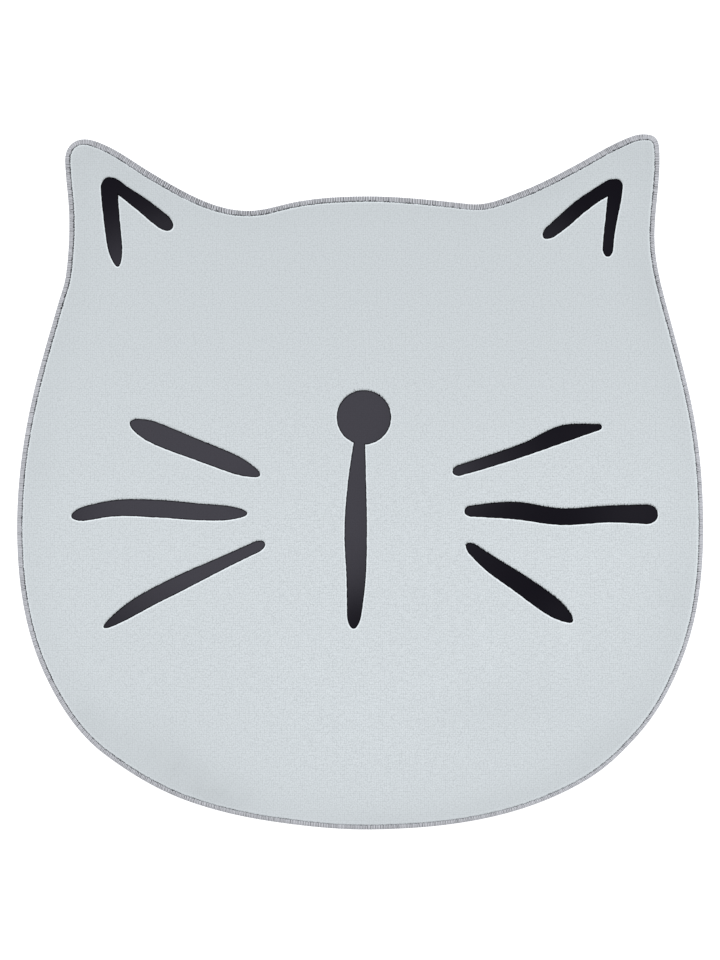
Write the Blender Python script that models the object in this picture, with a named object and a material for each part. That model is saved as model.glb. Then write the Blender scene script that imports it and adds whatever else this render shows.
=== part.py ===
"""Cat-head rug for a child's room: one flat cloth of short cut pile, its rim wrapped by a wound thread edge.

All lengths are metres unless a name says millimetres.  The rug lies on z = 0 with its pile up, its ears
towards +Y, and the middle of its outline's box on the origin.  The nose, mouth line, whiskers and ear
marks are dark pile in the same cloth, shorn a little lower than the light pile round them.
"""

import math
from collections import namedtuple

import bmesh
import bpy
import numpy as np
from mathutils import Vector
from mathutils.geometry import delaunay_2d_cdt, interpolate_bezier

# ---- driving sizes ---------------------------------------------------------------------------------
RUG_WIDTH = 1.000             # cheek to cheek, over the wound edge
DRAWING_WIDTH = 1000.0        # the same width in the drawing tables below, which are in millimetres
DRAWING_SCALE = RUG_WIDTH / DRAWING_WIDTH

RUG_HEIGHT = 0.0070           # floor to pile tips
FIGURE_DEPTH = 0.0010         # how far the dark pile stands below the light pile
FIGURE_BEVEL = 0.0016         # width of the slope between the two

EDGE_WIDTH = 0.0070           # wound edge, seen from above
EDGE_HEIGHT = 0.0055          # floor to the top of the wound edge
THREAD_WRAP = 0.0013          # thickness of thread over, under and outside the rim
RIM_THICKNESS = 0.0018        # cloth inside the wound edge
GAP = 0.0003                  # between the cloth and the wound edge

SAG = 0.00012                 # how far a flat face may cut inside the outline's curve
LONGEST_STEP = 0.026          # along the outline
SAMPLES_PER_SPAN = 120        # points read from each span of the outline before its steps are chosen
STROKE_STEPS = 18             # along each dark stroke
NOSE_SIDES = 48
BEVEL_SHARE = 0.95            # the share of the bevel's width after which a faceted mark is at full depth
SAME_PLACE = 1e-7             # corners of the pile's face closer than this are one
EDGE_CREASE = 50              # degrees, past which the wound edge is shaded with a crease

# ---- the outline, in drawing millimetres -----------------------------------------------------------
# Going round anticlockwise from the crown.  The heading is the way the edge runs there, in degrees.
Knot = namedtuple("Knot", "place x y heading")
OUTLINE = (
    Knot("crown", 0, 416, 181),
    Knot("left brow", -105, 405.5, 193),
    Knot("left saddle", -163, 395, 180),
    Knot("left ear slope", -280, 436, 150),
    Knot("left ear rise", -325, 463.5, 147),
    Knot("left ear crest", -370, 490, 156),
    Knot("left ear tip", -408, 498.5, 191),
    Knot("left ear point", -425, 487, 237),
    Knot("left ear corner", -430, 466, 272),
    Knot("left ear waist", -424, 385, 271),
    Knot("left ear hip", -429, 300, 262),
    Knot("left ear foot", -440, 260, 254),
    Knot("left temple", -477, 125, 257),
    Knot("left cheek", -500, -66, 270),
    Knot("left jowl", -456.5, -287, 296),
    Knot("left chin", -373, -396.5, 323),
    Knot("left belly", -252.5, -464.5, 340),
    Knot("left hem", -120, -496, 352),
    Knot("bottom", 20, -506.5, 1),
    Knot("right belly", 262, -467, 21),
    Knot("right hem", 338, -429, 33),
    Knot("right chin", 404.5, -369, 48),
    Knot("right jowl", 473, -248, 70),
    Knot("right cheek", 500, -66, 90),
    Knot("right temple", 479, 131, 103),
    Knot("right ear foot", 444, 266, 105),
    Knot("right ear waist", 429, 362, 89),
    Knot("right ear corner", 436, 483, 93),
    Knot("right ear point", 430.5, 501, 133),
    Knot("right ear tip", 414, 506.5, 178),
    Knot("right ear crest", 380, 497, 204),
    Knot("right ear rise", 310, 459.5, 208),
    Knot("right ear slope", 235, 423.5, 201),
    Knot("right saddle", 169, 404.5, 181),
    Knot("right brow", 140, 407, 174),
)

# ---- the dark figure, in drawing millimetres ---------------------------------------------------------
# A stroke runs from one end to the other.  It has a width at its start, at each quarter and at its end,
# the lengths over which its two noses round off, and how far it bends to its own left at each quarter.
Stroke = namedtuple(
    "Stroke",
    "name x0 y0 x1 y1 width_start width_early width_middle width_late width_end start_nose end_nose"
    " bend_early bend_middle bend_late",
)
STROKES = (
    Stroke("left upper whisker", -335, 87, -145.5, 9.5, 27, 32, 30, 28, 22, 38, 45, -1, -0.5, 0.5),
    Stroke("left middle whisker", -420.5, -50.5, -164, -46, 20, 24, 26, 24.5, 20.5, 24, 45, 11, 9, 3),
    Stroke("left lower whisker", -373.5, -212, -138.5, -89, 21.5, 23, 23, 18.5, 16, 75, 14, 6, 5.5, 3),
    Stroke("right upper whisker", 134.5, 13.5, 352, 80.5, 15.5, 17.5, 19.5, 25, 8, 11, 5, 0, 1.5, 6.5),
    Stroke("right middle whisker", 151.5, -43, 433.5, -47.5, 15, 25.5, 24.5, 25, 30, 10, 17, 2.5, -5.5, -0.5),
    Stroke("right lower whisker", 154.5, -90.5, 309.5, -203.5, 14.5, 24, 27.5, 29, 22, 14, 38, -2.5, -0.5, 0),
    Stroke("mouth line", 0, 72, -10, -214, 14, 26.5, 33, 28, 18, 5, 20, -2, -1.5, 1.5),
    Stroke("left ear, outer", -365.5, 443, -352.5, 313, 25, 23.5, 23.5, 22, 18.5, 22, 34, -1.5, -2, -1.5),
    Stroke("left ear, inner", -366, 439.5, -273.5, 368, 17, 18, 21, 22.5, 21.5, 10, 18, 0, 1, 0.5),
    Stroke("right ear, outer", 373.5, 441, 360, 327.5, 19.5, 19, 17.5, 16, 15, 12, 11, 0.5, -1, -1.5),
    Stroke("right ear, inner", 375.5, 436.5, 266.5, 355.5, 21, 18.5, 21, 20.5, 16.5, 14, 14, -4.5, -4.5, -1.5),
)
NOSE_X = 5.4
NOSE_Y = 93.8
NOSE_RADIUS = 39.7

# ---- sections ----------------------------------------------------------------------------------------
RIM_FLOOR = THREAD_WRAP + GAP
RIM_TOP = RIM_FLOOR + RIM_THICKNESS
SLOT_TOP = RIM_TOP + GAP
SLOT_BACK = 0.0017            # the slot that the rim sits in ends this far in from the outline
RIM_REACH = SLOT_BACK + GAP
PILE_START = EDGE_WIDTH + GAP

# Each row of a section is one ring round the rug: how far in from the outline it lies, and how high.
Row = namedtuple("Row", "inset height")

# From the underside's border, out round the rim and back up over the shoulder of the pile.
PANEL_SECTION = (
    Row(PILE_START, 0.0),
    Row(PILE_START, RIM_FLOOR),
    Row(RIM_REACH, RIM_FLOOR),
    Row(RIM_REACH, RIM_TOP),
    Row(PILE_START, RIM_TOP),
    Row(PILE_START + 0.0004, RUG_HEIGHT - 0.0022),
    Row(PILE_START + 0.0014, RUG_HEIGHT - 0.0008),
    Row(PILE_START + 0.0032, RUG_HEIGHT - 0.0002),
    Row(PILE_START + 0.0052, RUG_HEIGHT),
)

# Once round the C that wraps the rim, starting under its inner lip.
EDGE_SECTION = (
    Row(EDGE_WIDTH, 0.0),
    Row(0.0016, 0.0),
    Row(0.0004, 0.0008),
    Row(0.0, 0.0023),
    Row(0.0003, 0.0038),
    Row(0.0013, 0.0050),
    Row(0.0031, EDGE_HEIGHT),
    Row(0.0052, EDGE_HEIGHT - 0.0003),
    Row(0.0066, EDGE_HEIGHT - 0.0011),
    Row(EDGE_WIDTH, SLOT_TOP + 0.0004),
    Row(EDGE_WIDTH, SLOT_TOP),
    Row(SLOT_BACK, SLOT_TOP),
    Row(SLOT_BACK, THREAD_WRAP),
    Row(EDGE_WIDTH, THREAD_WRAP),
)

# ---- finishes --------------------------------------------------------------------------------------
Finish = namedtuple("Finish", "colour roughness")
LIGHT_PILE = Finish((0.63, 0.67, 0.70, 1.0), 0.95)
DARK_PILE = Finish((0.035, 0.033, 0.040, 1.0), 0.95)
EDGE_THREAD = Finish((0.45, 0.46, 0.50, 1.0), 0.80)


def clear_scene():
    for old in list(bpy.data.objects):
        bpy.data.objects.remove(old, do_unlink=True)


def finish_material(name, finish):
    material = bpy.data.materials.new(name)
    material.use_nodes = True
    material.diffuse_color = finish.colour
    shader = material.node_tree.nodes["Principled BSDF"]
    shader.inputs["Base Color"].default_value = finish.colour
    shader.inputs["Roughness"].default_value = finish.roughness
    shader.inputs["Metallic"].default_value = 0.0
    return material


def along(heading):
    """The unit direction of a heading in degrees."""
    angle = math.radians(heading)
    return Vector((math.cos(angle), math.sin(angle), 0.0))


def smooth_outline():
    """The whole outline as closely spaced points in metres, centred on the middle of its box.

    Neighbouring knots are joined by a Bezier curve whose handles are as long as a circular arc of
    the same chord and turn would need.
    """
    points = []
    for knot, following in zip(OUTLINE, OUTLINE[1:] + OUTLINE[:1]):
        start = Vector((knot.x, knot.y, 0.0))
        end = Vector((following.x, following.y, 0.0))
        turn = math.radians((following.heading - knot.heading + 180) % 360 - 180)
        handle = (end - start).length / (3 * math.cos(turn / 4) ** 2)
        leaving = start + handle * along(knot.heading)
        arriving = end - handle * along(following.heading)
        span = interpolate_bezier(start, leaving, arriving, end, SAMPLES_PER_SPAN + 1)
        points += [point.xy for point in span[:-1]]
    points = np.array(points) * DRAWING_SCALE
    return points - (points.min(axis=0) + points.max(axis=0)) / 2


def stations(points):
    """Chosen points of the outline and their inward normals, closer together where it bends more.

    A chord cuts inside a curve by an eighth of its bend times the chord's length squared.
    """
    step = np.roll(points, -1, axis=0) - points
    length = np.hypot(step[:, 0], step[:, 1])
    heading = np.unwrap(np.arctan2(step[:, 1], step[:, 0]))
    bend = np.abs(np.diff(heading, append=heading[0] + 2 * math.pi)) / length
    need = length * np.maximum(1 / LONGEST_STEP, np.sqrt(bend / (8 * SAG)))
    travelled = np.concatenate(([0.0], np.cumsum(need)))
    wanted = np.arange(0.0, travelled[-1], travelled[-1] / math.ceil(travelled[-1]))
    closed = np.vstack((points, points[:1]))
    chosen = np.stack([np.interp(wanted, travelled, closed[:, axis]) for axis in (0, 1)], axis=1)
    tangent = np.roll(chosen, -1, axis=0) - np.roll(chosen, 1, axis=0)
    tangent /= np.hypot(tangent[:, 0], tangent[:, 1])[:, None]
    inward = np.stack((-tangent[:, 1], tangent[:, 0]), axis=1)
    return chosen, inward


def ring_of_points(mesh, outline, inward, inset, height):
    place = outline + inset * inward
    return [mesh.verts.new((x, y, height)) for x, y in place]


def join_rings(mesh, ring, following):
    """A closed belt of quads between two rings that have the same number of points."""
    count = len(ring)
    for here in range(count):
        there = (here + 1) % count
        mesh.faces.new((ring[here], ring[there], following[there], following[here]))


def through_quarters(values, t):
    """A smooth curve that passes through five values, one at each quarter of the way."""
    values = np.array(values, float)
    slopes = np.gradient(values)
    position = np.clip(t, 0, 1) * 4
    first = np.minimum(position.astype(int), 3)
    share = position - first
    from_here = values[first] * (1 + 2 * share) + slopes[first] * share
    from_there = values[first + 1] * (3 - 2 * share) - slopes[first + 1] * (1 - share)
    return from_here * (1 - share) ** 2 + from_there * share**2


def bend_of(stroke, t):
    """How far a stroke's middle line lies to its left at t."""
    return through_quarters((0, stroke.bend_early, stroke.bend_middle, stroke.bend_late, 0), t)


def half_width_of(stroke, t, length):
    widths = (
        stroke.width_start,
        stroke.width_early,
        stroke.width_middle,
        stroke.width_late,
        stroke.width_end,
    )
    start_nose = np.clip(1 - t * length / stroke.start_nose, 0, 1)
    end_nose = np.clip(1 - (1 - t) * length / stroke.end_nose, 0, 1)
    return through_quarters(widths, t) / 2 * np.sqrt((1 - start_nose**2) * (1 - end_nose**2))


def stroke_outline(stroke):
    """The closed border of one stroke, anticlockwise, in metres."""
    t = 0.5 - 0.5 * np.cos(np.linspace(0, math.pi, STROKE_STEPS + 1))
    start = np.array((stroke.x0, stroke.y0), float)
    run = np.array((stroke.x1, stroke.y1)) - start
    length = math.hypot(*run)
    forward = run / length
    left = np.array((-forward[1], forward[0]))
    middle = start + np.outer(t * length, forward) + np.outer(bend_of(stroke, t), left)
    slope = np.gradient(middle, axis=0)
    slope /= np.hypot(slope[:, 0], slope[:, 1])[:, None]
    across = np.stack((-slope[:, 1], slope[:, 0]), axis=1) * half_width_of(stroke, t, length)[:, None]
    left_side = middle + across
    right_side = middle - across
    return np.concatenate((right_side, left_side[-2:0:-1])) * DRAWING_SCALE


def nose_outline():
    angle = np.linspace(0, 2 * math.pi, NOSE_SIDES, endpoint=False)
    disc = np.stack((np.cos(angle), np.sin(angle)), axis=1) * NOSE_RADIUS
    return (disc + (NOSE_X, NOSE_Y)) * DRAWING_SCALE


def shrunk(border, inset):
    """A border moved in by inset, each corner along the mean of its two sides' normals."""
    before = border - np.roll(border, 1, axis=0)
    after = np.roll(border, -1, axis=0) - border
    before /= np.hypot(before[:, 0], before[:, 1])[:, None]
    after /= np.hypot(after[:, 0], after[:, 1])[:, None]
    inward = np.stack((-(before + after)[:, 1], (before + after)[:, 0]), axis=1)
    inward /= np.hypot(inward[:, 0], inward[:, 1])[:, None]
    return border + inset * inward


def distance_inside(points, border):
    """How far each point lies inside a closed border, and 0 for a point outside it."""
    start = border
    side = np.roll(border, -1, axis=0) - border
    from_start = points[:, None, :] - start[None, :, :]
    share = (from_start * side).sum(axis=2) / (side**2).sum(axis=1)
    nearest = from_start - np.clip(share, 0, 1)[:, :, None] * side
    distance = np.hypot(nearest[:, :, 0], nearest[:, :, 1]).min(axis=1)
    end_y = start[:, 1] + side[:, 1]
    spans = (start[:, 1] > points[:, 1:]) != (end_y > points[:, 1:])
    with np.errstate(divide="ignore", invalid="ignore"):
        crossing_x = start[:, 0] + (points[:, 1:] - start[:, 1]) / side[:, 1] * side[:, 0]
    crossings = (spans & (points[:, :1] < crossing_x)).sum(axis=1)
    return np.where(crossings % 2 == 1, distance, 0.0)


def pile_height(points, marks):
    """Height of the pile at each point: full, or down the bevel to the shorn floor of a dark mark."""
    depth = np.zeros(len(points))
    for mark in marks:
        slope_share = distance_inside(points, mark) / (BEVEL_SHARE * FIGURE_BEVEL)
        depth = np.maximum(depth, FIGURE_DEPTH * np.clip(slope_share, 0, 1))
    return RUG_HEIGHT - depth


def fill_pile(mesh, border):
    """The pile's upper face inside the border ring, with the dark figure let into it."""
    marks = [stroke_outline(stroke) for stroke in STROKES] + [nose_outline()]
    loops = [np.array([vert.co.xy for vert in border])]
    for mark in marks:
        loops += [mark, shrunk(mark, FIGURE_BEVEL)]
    firsts = np.cumsum([0] + [len(loop) for loop in loops])
    corners = [Vector(point) for loop in loops for point in loop]
    faces = [list(range(first, last)) for first, last in zip(firsts, firsts[1:])]
    inside_constraints = 1
    places, _, triangles, sources, _, face_sources = delaunay_2d_cdt(
        corners, [], faces, inside_constraints, SAME_PLACE
    )
    heights = pile_height(np.array(places), marks)
    verts = []
    for place, height, source in zip(places, heights, sources):
        on_border = [index for index in source if index < len(border)]
        vert = border[on_border[0]] if on_border else mesh.verts.new((place.x, place.y, height))
        verts.append(vert)
    for triangle, source in zip(triangles, face_sources):
        face = mesh.faces.new([verts[index] for index in triangle])
        face.material_index = 1 if len(source) > 1 else 0


def add_object(name, mesh, materials):
    data = bpy.data.meshes.new(name)
    mesh.to_mesh(data)
    mesh.free()
    for material in materials:
        data.materials.append(material)
    added = bpy.data.objects.new(name, data)
    bpy.context.scene.collection.objects.link(added)
    return added


def make_pile_panel(outline, inward):
    """The cloth: flat underside, thin rim, rounded shoulder and the pile with its dark figure."""
    mesh = bmesh.new()
    rings = [ring_of_points(mesh, outline, inward, *row) for row in PANEL_SECTION]
    for ring, following in zip(rings, rings[1:]):
        join_rings(mesh, ring, following)
    mesh.faces.new(rings[0][::-1])
    fill_pile(mesh, rings[-1])
    materials = [finish_material("light_pile", LIGHT_PILE), finish_material("dark_pile", DARK_PILE)]
    return add_object("pile_panel", mesh, materials)


def make_edge_binding(outline, inward):
    """The wound edge: one closed ring with a C section, open towards the cloth."""
    mesh = bmesh.new()
    rings = [ring_of_points(mesh, outline, inward, *row) for row in EDGE_SECTION]
    for ring, following in zip(rings, rings[1:] + rings[:1]):
        join_rings(mesh, ring, following)
    binding = add_object("edge_binding", mesh, [finish_material("edge_thread", EDGE_THREAD)])
    binding.data.shade_smooth()
    binding.data.set_sharp_from_angle(angle=math.radians(EDGE_CREASE))
    return binding


def main():
    clear_scene()
    outline, inward = stations(smooth_outline())
    make_pile_panel(outline, inward)
    make_edge_binding(outline, inward)


main()
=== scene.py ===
"""Looks of the cat-head rug: short velvety pile with a dark figure, a wound thread edge, light and camera.

All lengths are metres unless a name says millimetres.  The rug lies on z = 0 with its ears towards +Y.
"""

import math
from collections import namedtuple

import bpy
import numpy as np
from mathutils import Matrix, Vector, noise
from mathutils.geometry import delaunay_2d_cdt, interpolate_bezier


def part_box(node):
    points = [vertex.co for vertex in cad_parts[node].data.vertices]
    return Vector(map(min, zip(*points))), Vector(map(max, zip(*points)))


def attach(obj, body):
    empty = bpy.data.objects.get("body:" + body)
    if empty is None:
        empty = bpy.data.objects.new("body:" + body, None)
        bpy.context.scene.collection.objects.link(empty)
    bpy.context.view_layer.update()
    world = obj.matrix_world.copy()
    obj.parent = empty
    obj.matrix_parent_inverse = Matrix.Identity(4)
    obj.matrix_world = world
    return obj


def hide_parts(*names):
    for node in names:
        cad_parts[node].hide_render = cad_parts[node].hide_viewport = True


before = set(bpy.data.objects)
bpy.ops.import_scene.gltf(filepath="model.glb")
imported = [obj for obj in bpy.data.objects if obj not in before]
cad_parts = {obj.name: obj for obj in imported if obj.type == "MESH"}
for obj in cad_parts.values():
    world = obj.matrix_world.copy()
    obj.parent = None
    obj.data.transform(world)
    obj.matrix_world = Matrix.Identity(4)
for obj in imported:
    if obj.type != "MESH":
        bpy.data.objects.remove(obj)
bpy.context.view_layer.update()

# ---- sizes from the frame --------------------------------------------------------------------------
EDGE_LOW, EDGE_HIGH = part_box("edge_binding")
_, PANEL_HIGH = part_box("pile_panel")
RUG_WIDTH = EDGE_HIGH.x - EDGE_LOW.x
PILE_TOP = PANEL_HIGH.z
EDGE_TOP = EDGE_HIGH.z
DRAWING_WIDTH = 1000.0        # the rug's width in the drawing tables, which are in millimetres
DRAWING_SCALE = RUG_WIDTH / DRAWING_WIDTH
MM = 0.001

# ---- the outline, in drawing millimetres -----------------------------------------------------------
# Going round anticlockwise from the crown.  The heading is the way the edge runs there, in degrees.
Knot = namedtuple("Knot", "place x y heading")
OUTLINE = (
    Knot("crown", 0, 416, 181),
    Knot("left brow", -105, 405.5, 193),
    Knot("left saddle", -163, 395, 180),
    Knot("left ear slope", -280, 436, 150),
    Knot("left ear rise", -325, 463.5, 147),
    Knot("left ear crest", -370, 490, 156),
    Knot("left ear tip", -408, 498.5, 191),
    Knot("left ear point", -425, 487, 237),
    Knot("left ear corner", -430, 466, 272),
    Knot("left ear waist", -424, 385, 271),
    Knot("left ear hip", -429, 300, 262),
    Knot("left ear foot", -440, 260, 254),
    Knot("left temple", -477, 125, 257),
    Knot("left cheek", -500, -66, 270),
    Knot("left jowl", -456.5, -287, 296),
    Knot("left chin", -373, -396.5, 323),
    Knot("left belly", -252.5, -464.5, 340),
    Knot("left hem", -120, -496, 352),
    Knot("bottom", 20, -506.5, 1),
    Knot("right belly", 262, -467, 21),
    Knot("right hem", 338, -429, 33),
    Knot("right chin", 404.5, -369, 48),
    Knot("right jowl", 473, -248, 70),
    Knot("right cheek", 500, -66, 90),
    Knot("right temple", 479, 131, 103),
    Knot("right ear foot", 444, 266, 105),
    Knot("right ear waist", 429, 362, 89),
    Knot("right ear corner", 436, 483, 93),
    Knot("right ear point", 430.5, 501, 133),
    Knot("right ear tip", 414, 506.5, 178),
    Knot("right ear crest", 380, 497, 204),
    Knot("right ear rise", 310, 459.5, 208),
    Knot("right ear slope", 235, 423.5, 201),
    Knot("right saddle", 169, 404.5, 181),
    Knot("right brow", 140, 407, 174),
)
SAMPLES_PER_SPAN = 120

# ---- the dark figure, in drawing millimetres -------------------------------------------------------
# A stroke runs from one end to the other.  It has a width at its start, at each quarter and at its end,
# the lengths over which its two noses round off, and how far it bends to its own left at each quarter.
Stroke = namedtuple(
    "Stroke",
    "name x0 y0 x1 y1 width_start width_early width_middle width_late width_end start_nose end_nose"
    " bend_early bend_middle bend_late",
)
STROKES = (
    Stroke("left upper whisker", -335, 87, -145.5, 9.5, 27, 32, 30, 28, 22, 38, 45, -1, -0.5, 0.5),
    Stroke("left middle whisker", -420.5, -50.5, -164, -46, 20, 24, 26, 24.5, 20.5, 24, 45, 11, 9, 3),
    Stroke("left lower whisker", -373.5, -212, -138.5, -89, 21.5, 23, 23, 18.5, 16, 75, 14, 6, 5.5, 3),
    Stroke("right upper whisker", 134.5, 13.5, 352, 80.5, 15.5, 17.5, 19.5, 25, 8, 11, 5, 0, 1.5, 6.5),
    Stroke("right middle whisker", 151.5, -43, 433.5, -47.5, 15, 25.5, 24.5, 25, 30, 10, 17, 2.5, -5.5, -0.5),
    Stroke("right lower whisker", 154.5, -90.5, 309.5, -203.5, 14.5, 24, 27.5, 29, 22, 14, 38, -2.5, -0.5, 0),
    Stroke("mouth line", 0, 72, -10, -214, 14, 26.5, 33, 28, 18, 5, 20, -2, -1.5, 1.5),
    Stroke("left ear, outer", -366, 443.5, -352.5, 313, 26.5, 24.5, 23.5, 22, 18.5, 19, 34, -1.5, -2, -1.5),
    Stroke("left ear, inner", -366, 439.5, -273.5, 368, 17, 18, 21, 22.5, 21.5, 10, 18, 0, 1, 0.5),
    Stroke("right ear, outer", 373.5, 441, 360, 327.5, 20, 20.5, 17.5, 16, 15, 12, 11, 0, -1, -1.5),
    Stroke("right ear, inner", 376, 435.5, 266.5, 355.5, 23, 20, 21, 20.5, 16.5, 14, 14, -4, -4.5, -1.5),
)
STROKE_STEPS = 72
NOSE_X = 5.4
NOSE_Y = 93.8
NOSE_RADIUS = 39.7
NOSE_SIDES = 160

# ---- the pile --------------------------------------------------------------------------------------
# Rings round the cloth: how far in from the outline, how high, how loosely the cut edge wanders there,
# how much painted shade it gets at the roots in the groove and how much painted highlight on the tips.
Row = namedtuple("Row", "inset height loose root tip")
UNDERSIDE_INSET = 7.3 * MM
RIM_ROWS = (
    Row(UNDERSIDE_INSET, 0.0, 0.0, 0.0, 0.0),
    Row(UNDERSIDE_INSET, 1.5 * MM, 0.0, 1.0, 0.0),
    Row(2.4 * MM, 1.7 * MM, 0.0, 1.0, 0.0),
    Row(2.1 * MM, 2.4 * MM, 0.0, 1.0, 0.0),
    Row(2.4 * MM, 3.1 * MM, 0.0, 1.0, 0.0),
    Row(5.4 * MM, 3.2 * MM, 0.3, 1.0, 0.0),
    Row(7.0 * MM, 3.3 * MM, 0.7, 1.0, 0.0),
    Row(7.4 * MM, 4.4 * MM, 0.9, 1.0, 0.0),
    Row(7.65 * MM, 5.3 * MM, 1.0, 0.6, 0.2),
    Row(7.95 * MM, 6.1 * MM, 1.0, 0.08, 0.9),
    Row(8.5 * MM, 6.75 * MM, 0.8, 0.0, 1.0),
    Row(9.4 * MM, PILE_TOP, 0.5, 0.0, 0.6),
    Row(10.8 * MM, PILE_TOP, 0.2, 0.0, 0.15),
    Row(12.2 * MM, PILE_TOP, 0.0, 0.0, 0.0),
)
RIM_STEP = 1.27 * MM          # along the rings
RIM_WANDER = 0.7 * MM         # how far the cut edge strays
RIM_WANDER_LENGTH = 3.4 * MM  # and over what length
RIM_DRIFT = 0.35              # a slower stray, as a share of the first
RIM_DRIFT_LENGTH = 16 * MM
NOTCH_DEPTH = 0.42 * MM       # of the notches that the edge's thread pulls into the cut edge
SHUT_ROOT = 0.3               # where the groove is shut, this much of the painted shade is left
SHUT_TIP = 0.35               # and this much of the painted highlight on the tips
FIELD_INSET = 14.5 * MM       # the field of even points starts here
FIELD_STEP = 5.3 * MM
FIELD_CLEAR_OUT = 3.85 * MM   # it keeps this far outside the dark borders
FIELD_CLEAR_IN = 2.95 * MM    # and this far inside them
BACK_STEP = 18 * MM
CLOSEST_POINTS = 0.5 * MM
COARSE_OUTLINE = 8            # one in so many outline points serves for depths in the whole rug
POINTS_AT_ONCE = 2000

FIGURE_DEPTH = 1.1 * MM       # the dark pile is shorn this much lower
LIP_OUT = 1.5 * MM            # the slope starts this far outside the dark border
LIP_IN = 0.5 * MM             # and ends this far inside it
FIGURE_STEP = 1.6 * MM        # between points along the dark borders
FIGURE_RINGS = (-3.2, -2.2, -1.5, -0.8, -0.2, 0.4, 1.1, 2.0)   # millimetres inside each dark border
FIGURE_REACH = 12 * MM        # the distance to a dark border is worked out this far from it
RING_SLACK = 0.3 * MM         # a ring point is left out when another mark brings it nearer by this much
FACING_STEP = 0.3 * MM        # for the side of a mark that a point lies on
FACING_UP = (0.1, 0.6)        # the slopes between which a point comes to lie above a mark

SWELL_HEIGHT = 0.28 * MM      # gentle rise and fall of the cloth as it lies
SWELL_LENGTH = 160 * MM
SWELL_SINK = 0.4              # the swells lie lower than the pile's top by this share of their height
SWELL_FROM = 3.4 * MM         # what is lower than this lies flat
LUMP_HEIGHT = 0.07 * MM
LUMP_LENGTH = 12 * MM

# Places where the pile looks lighter or darker: the open middle is a broad painted sheen, the low middle
# lightens the lower middle, and in the rest the nap is rubbed or laid over.  Half widths in drawing
# millimetres, turn in degrees, and how much lighter or darker the pile looks there, in hundredths.
Patch = namedtuple("Patch", "place x y half_x half_y turn tone")
PATCHES = (
    # A broad painted sheen over the middle.
    Patch("open middle", 70, -145, 820, 300, 0, 6.9),
    Patch("low middle", 40, -370, 230, 130, 0, 3.2),
    Patch("left ear tip", -393, 465, 60, 60, 0, -3.0),
    Patch("between left ear marks", -318, 412, 48, 30, -30, -2.5),
    Patch("right ear tip", 412, 485, 50, 55, 0, -2.5),
    Patch("right ear slope", 272, 436, 45, 24, 28, -2.6),
    Patch("right ear foot", 425, 278, 34, 62, 10, -1.6),
    Patch("left cheek", -468, 30, 34, 50, 0, -1.6),
    Patch("left chin", -397, -358, 44, 34, -40, -4.0),
    Patch("left belly", -290, -400, 80, 45, -30, -5.0),
    Patch("left hem", -210, -455, 60, 34, -20, -6.0),
    Patch("right cheek", 458, -175, 34, 76, 0, -2.6),
    Patch("right chin", 352, -396, 74, 36, 42, -3.6),
    Patch("right jowl", 424, -315, 38, 52, 20, -2.0),
    Patch("right hem", 205, -466, 84, 20, 16, -2.6),
    Patch("bottom hem", 48, -496, 120, 18, 0, -2.6),
    Patch("right whisker streak", 302, -200, 14, 78, -6, 2.0),
    Patch("right low streak", 194, -232, 28, 42, 0, 1.2),
    Patch("left low middle", -88, -252, 42, 30, 0, 1.1),
    Patch("right low shade", 190, -330, 110, 30, 8, -2.2),
    Patch("right cheek bloom", 330, -60, 130, 130, 0, 1.6),
    Patch("crown", -60, 330, 330, 100, 0, -0.8),
)
FRAY_LENGTHS = ((0.55, 20 * MM, 5.3), (0.45, 55 * MM, 1.9))   # share, length and seed of two ragged noises
FRAY_WIDTH = 60               # a patch with a larger half width than this frays less
RIM_SHADE = 2.6               # hundredths darker beside the wound edge
RIM_SHADE_REACH = 40 * MM

# Places where painted sheen makes the dark pile greyer: half widths in drawing millimetres and how
# grey it gets there.
SheenPatch = namedtuple("SheenPatch", "place x y half_x half_y amount")
PAINTED_SHEEN_PATCHES = (
    SheenPatch("left cheek", -200, 15, 270, 265, 1.20),
    SheenPatch("beside the nose", -165, -10, 50, 60, -0.45),
    SheenPatch("nose", 14, 108, 60, 60, 0.38),
    SheenPatch("mouth foot", -7, -205, 40, 45, -0.22),
    SheenPatch("right whisker roots", 125, 5, 75, 50, 0.25),
    SheenPatch("mouth middle", -2, -65, 35, 90, 0.15),
    SheenPatch("right upper whisker", 225, 42, 80, 40, 0.10),
    SheenPatch("right upper whisker end", 335, 76, 50, 30, 0.10),
    SheenPatch("right lower whisker end", 296, -192, 44, 30, 0.10),
    SheenPatch("right whisker end", 400, -46, 80, 50, 0.20),
    SheenPatch("left ear inner foot", -280, 375, 42, 26, 0.16),
    SheenPatch("right ear, outer mark", 362, 355, 22, 60, 0.11),
    SheenPatch("left ear foot", -352, 312, 40, 66, 0.27),
    SheenPatch("right ear foot", 272, 355, 60, 50, 0.26),
)
PAINTED_SHEEN_EVERYWHERE = 0.06
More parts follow.
